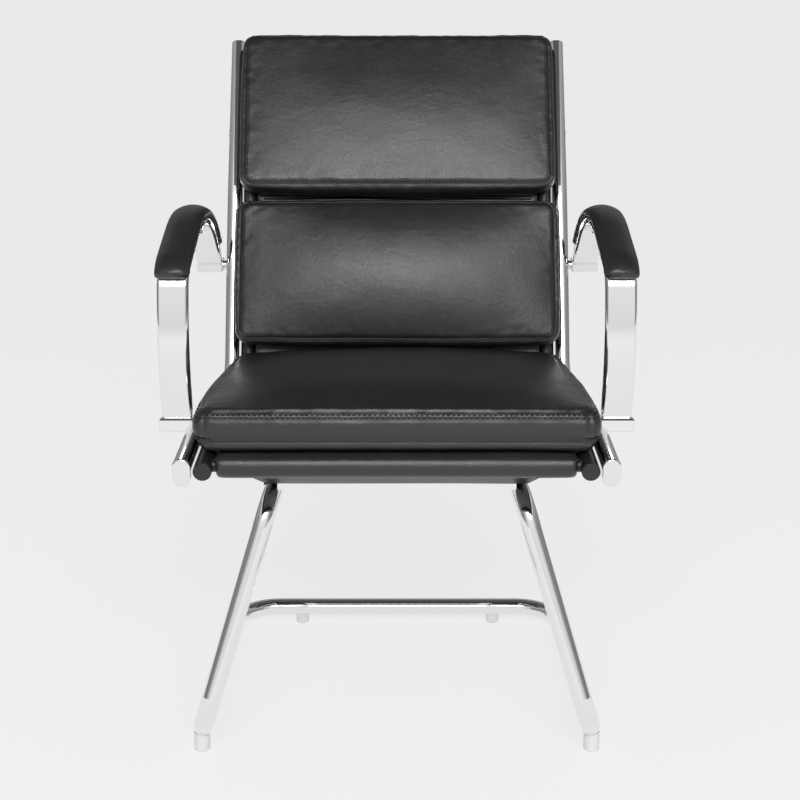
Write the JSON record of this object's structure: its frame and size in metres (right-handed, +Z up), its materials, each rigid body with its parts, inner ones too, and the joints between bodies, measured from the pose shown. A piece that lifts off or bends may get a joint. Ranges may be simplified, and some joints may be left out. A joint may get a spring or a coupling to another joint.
{
  "type": "visitor chair",
  "caption": "Visitor chair with a bent chromed tube base, side rails, a padded black seat and back, and padded loop arms.",
  "frame": {"origin": "on the floor, under the middle of the chair's box", "axes": "+Z up; the sitter faces -Y; +X is on the right of someone who looks at the chair's front"},
  "size_m": [0.62, 0.6553, 0.9168],
  "materials": {
    "chrome": "polished chrome plate on steel tube",
    "arm_chrome": "polished chrome plate on the loop arms",
    "bright_steel": "zinc-plated fasteners",
    "black_steel": "black powder coat",
    "black_plastic": "satin black moulding",
    "grey_plastic": "silver moulding",
    "white_plastic": "pale moulded glide",
    "black_leather": "soft black leather with a low sheen",
    "arm_pad_black": "black padded arm skin"
  },
  "bodies": {
    "root": {"base_tube": "chrome", "front_cross_bar": "chrome", "rear_cross_bar": "chrome", "left_side_rail": "chrome", "right_side_rail": "chrome", "rail_front_caps": "chrome", "rail_top_caps": "chrome", "left_arm_frame": "arm_chrome", "right_arm_frame": "arm_chrome", "base_bolts": "bright_steel", "rail_bolts": "bright_steel", "rail_washers": "bright_steel", "arm_spacers": "bright_steel", "arm_bolts": "bright_steel", "arm_pad_screws": "bright_steel", "left_frame_tube": "black_steel", "right_frame_tube": "black_steel", "front_cross_tube": "black_steel", "front_tie_bar": "black_steel", "rear_tie_bar": "black_steel", "lower_back_bar": "black_steel", "upper_back_bar": "black_steel", "base_end_plugs": "black_plastic", "frame_tube_front_plugs": "black_plastic", "frame_tube_top_plugs": "black_plastic", "arm_bolt_caps": "grey_plastic", "front_glides": "white_plastic", "rear_glides": "white_plastic", "sling": "black_leather", "front_roll": "black_leather", "back_cover": "black_leather", "under_cover": "black_leather", "seat_pad": "black_leather", "lower_back_pad": "black_leather", "upper_back_pad": "black_leather", "left_arm_pad": "arm_pad_black", "right_arm_pad": "arm_pad_black"}
  },
  "joints": []
}
